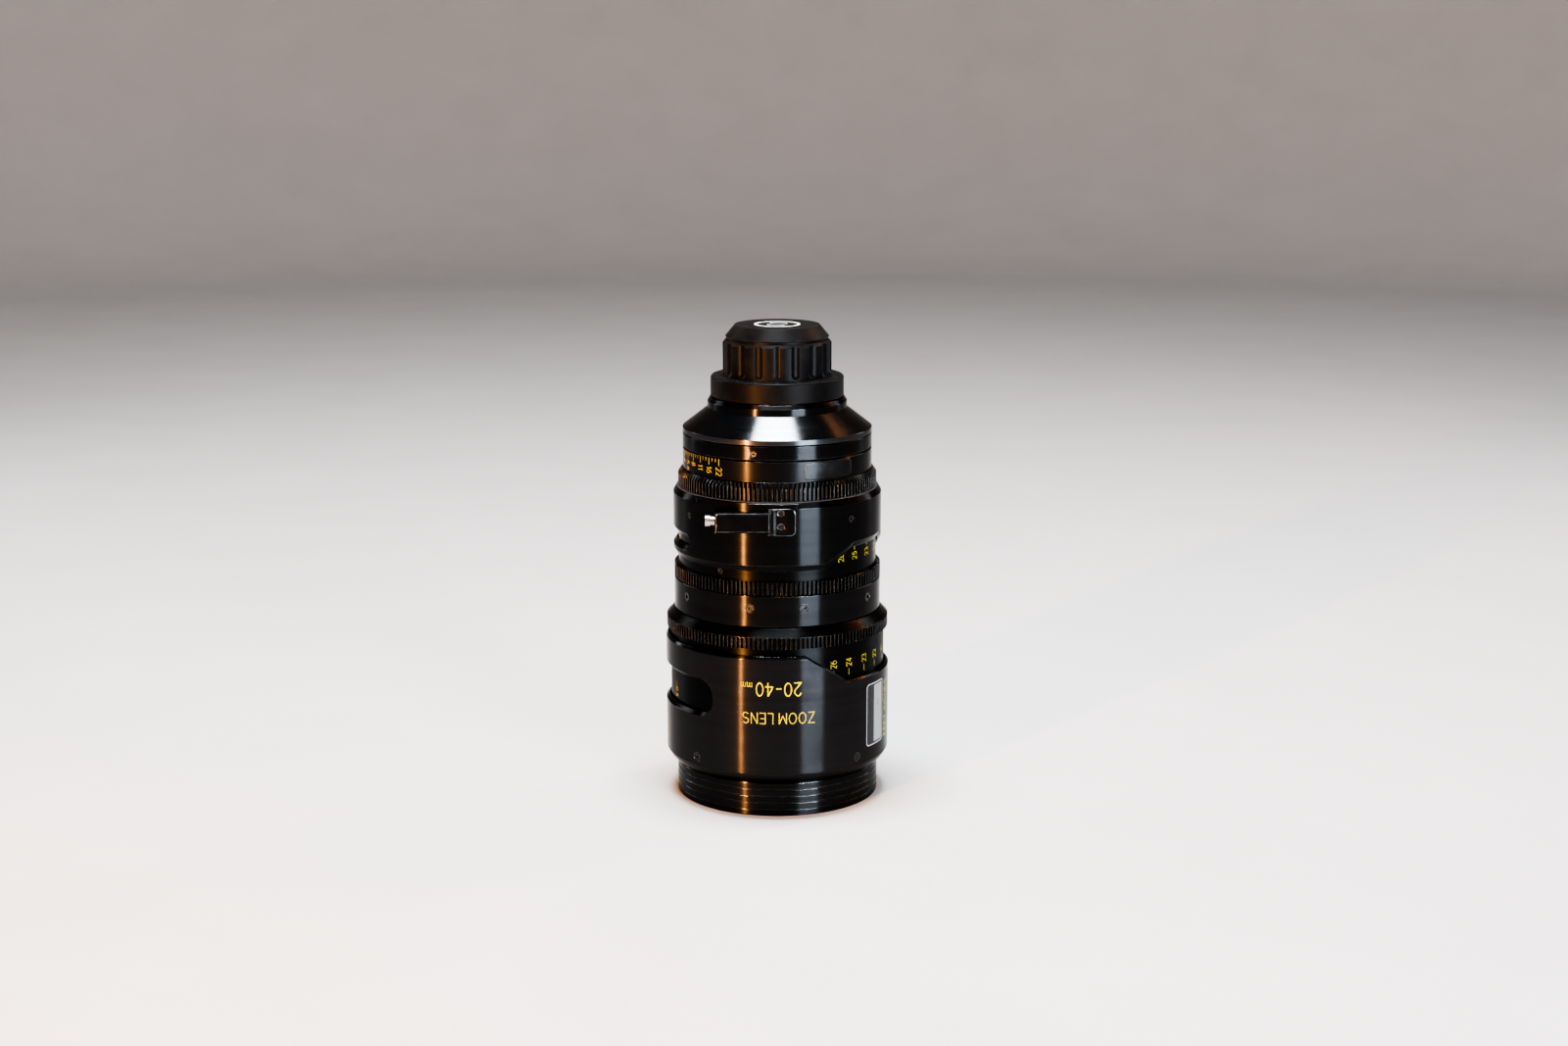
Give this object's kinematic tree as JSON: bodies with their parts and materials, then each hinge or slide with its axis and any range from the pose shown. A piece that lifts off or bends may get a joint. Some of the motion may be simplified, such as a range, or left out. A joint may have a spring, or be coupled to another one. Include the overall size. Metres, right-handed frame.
{
  "type": "cinema zoom lens",
  "caption": "Black cinema zoom lens standing on its front rim, with geared focus, zoom and iris rings, moving lens groups, closing iris blades, a 54 mm tube mount and a fluted rear cap.",
  "frame": {"origin": "centre of the front rim, on the surface that the lens stands on", "axes": "+Z along the optical axis from the front rim up to the rear cap; -Y towards the side with the data connector, the lens's top in use; +X to the right seen from there"},
  "size_m": [0.126, 0.126, 0.2662],
  "materials": {
    "black_anodised": "black anodised, fine turned, satin",
    "inner_black": "black anodised, matt",
    "gear_black": "black anodised, edges slightly worn",
    "scale_plate": "black anodised, smooth",
    "label_face": "black label with a thin light outline and a light panel",
    "screw_black": "blackened steel",
    "glass": "polished and coated",
    "brass": "turned",
    "blade_steel": "blackened spring steel",
    "mount_steel": "ground stainless steel",
    "socket_metal": "satin chrome",
    "cap_black": "satin black, glossier in the flutes"
  },
  "bodies": {
    "lens_barrel": {"front_ring": "black_anodised", "front_cell": "inner_black", "front_retainer": "inner_black", "front_element": "glass", "second_element": "glass", "second_retainer": "inner_black", "main_barrel": "inner_black", "cover_shell": "black_anodised", "cover_screws": "screw_black", "label_plate": "label_face", "centre_band": "black_anodised", "centre_band_screws": "screw_black", "guide_barrel": "inner_black", "support_band": "black_anodised", "set_screws": "screw_black", "connector_housing": "black_anodised", "connector_socket": "socket_metal", "connector_contacts": "brass", "connector_screws": "screw_black", "rear_housing": "inner_black", "iris_base": "inner_black", "rear_barrel": "black_anodised", "rear_cone": "black_anodised", "mount_ring": "black_anodised", "mount_shim": "mount_steel", "mount_flange": "mount_steel", "mount_screws": "screw_black", "mount_tube": "black_anodised", "relay_cell": "inner_black", "relay_lens": "glass", "rear_element": "glass", "rear_retainer": "inner_black"},
    "focus": {"focus_ring": "gear_black", "focus_scale_drum": "black_anodised", "focus_cam_sleeve": "inner_black"},
    "focus_group": {"focus_cell": "inner_black", "focus_lens_front": "glass", "focus_lens_rear": "glass", "focus_followers": "brass"},
    "zoom": {"zoom_ring": "gear_black", "zoom_ring_screws": "screw_black", "zoom_cam_tube": "inner_black"},
    "variator": {"variator_cell": "inner_black", "variator_lens": "glass", "variator_followers": "brass"},
    "compensator": {"compensator_cell": "inner_black", "compensator_lens": "glass", "compensator_followers": "brass"},
    "iris": {"iris_ring": "gear_black", "iris_scale_plate": "scale_plate", "iris_drive_pins": "screw_black", "iris_drive_ring": "inner_black"},
    "cap": {"rear_cap": "cap_black"},
    "blade_1": {"iris_blade_1": "blade_steel"},
    "blade_2": {"iris_blade_2": "blade_steel"},
    "blade_3": {"iris_blade_3": "blade_steel"},
    "blade_4": {"iris_blade_4": "blade_steel"},
    "blade_5": {"iris_blade_5": "blade_steel"},
    "blade_6": {"iris_blade_6": "blade_steel"},
    "blade_7": {"iris_blade_7": "blade_steel"}
  },
  "joints": [
    {"name": "focus ring turn", "type": "hinge", "parent": "lens_barrel", "child": "focus", "pos_m": [0, 0, 0.0975], "axis": [0, 0, 1], "range_deg": [-15, 275]},
    {"name": "focus group slide", "type": "slide", "parent": "lens_barrel", "child": "focus_group", "axis": [0, 0, 1], "range_m": [-0.00062, 0.01138]},
    {"name": "zoom ring turn", "type": "hinge", "parent": "lens_barrel", "child": "zoom", "pos_m": [0, 0, 0.129], "axis": [0, 0, 1], "range_deg": [-12, 100]},
    {"name": "variator slide", "type": "slide", "parent": "lens_barrel", "child": "variator", "axis": [0, 0, 1], "range_m": [-0.00172, 0.01429]},
    {"name": "compensator slide", "type": "slide", "parent": "lens_barrel", "child": "compensator", "axis": [0, 0, 1], "range_m": [-0.00446, 0.00054]},
    {"name": "iris ring turn", "type": "hinge", "parent": "lens_barrel", "child": "iris", "pos_m": [0, 0, 0.18], "axis": [0, 0, 1], "range_deg": [-55, 0]},
    {"name": "iris blade 1 swing", "type": "hinge", "parent": "lens_barrel", "child": "blade_1", "pos_m": [0, -0.032, 0.175], "axis": [0, 0, 1], "range_deg": [-34.01, 0]},
    {"name": "iris blade 2 swing", "type": "hinge", "parent": "lens_barrel", "child": "blade_2", "pos_m": [0.02502, -0.01995, 0.175], "axis": [0, 0, 1], "range_deg": [-34.01, 0]},
    {"name": "iris blade 3 swing", "type": "hinge", "parent": "lens_barrel", "child": "blade_3", "pos_m": [0.0312, 0.00712, 0.175], "axis": [0, 0, 1], "range_deg": [-34.01, 0]},
    {"name": "iris blade 4 swing", "type": "hinge", "parent": "lens_barrel", "child": "blade_4", "pos_m": [0.01388, 0.02883, 0.175], "axis": [0, 0, 1], "range_deg": [-34.01, 0]},
    {"name": "iris blade 5 swing", "type": "hinge", "parent": "lens_barrel", "child": "blade_5", "pos_m": [-0.01388, 0.02883, 0.175], "axis": [0, 0, 1], "range_deg": [-34.01, 0]},
    {"name": "iris blade 6 swing", "type": "hinge", "parent": "lens_barrel", "child": "blade_6", "pos_m": [-0.0312, 0.00712, 0.175], "axis": [0, 0, 1], "range_deg": [-34.01, 0]},
    {"name": "iris blade 7 swing", "type": "hinge", "parent": "lens_barrel", "child": "blade_7", "pos_m": [-0.02502, -0.01995, 0.175], "axis": [0, 0, 1], "range_deg": [-34.01, 0]},
    {"name": "cap slide joint", "type": "slide", "parent": "lens_barrel", "child": "cap", "axis": [0, 0, 1], "range_m": [0, 0.06]}
  ],
  "couplings": [
    {"joint": "focus group slide", "follows": "focus ring turn", "m_per_rad": 0.0023709},
    {"joint": "variator slide", "follows": "zoom ring turn", "m_per_rad": 0.0081851},
    {"joint": "compensator slide", "follows": "zoom ring turn", "m_per_rad": -0.0025578},
    {"joint": "iris blade 1 swing", "follows": "iris ring turn", "ratio": 0.61818},
    {"joint": "iris blade 2 swing", "follows": "iris ring turn", "ratio": 0.61818},
    {"joint": "iris blade 3 swing", "follows": "iris ring turn", "ratio": 0.61818},
    {"joint": "iris blade 4 swing", "follows": "iris ring turn", "ratio": 0.61818},
    {"joint": "iris blade 5 swing", "follows": "iris ring turn", "ratio": 0.61818},
    {"joint": "iris blade 6 swing", "follows": "iris ring turn", "ratio": 0.61818},
    {"joint": "iris blade 7 swing", "follows": "iris ring turn", "ratio": 0.61818}
  ]
}
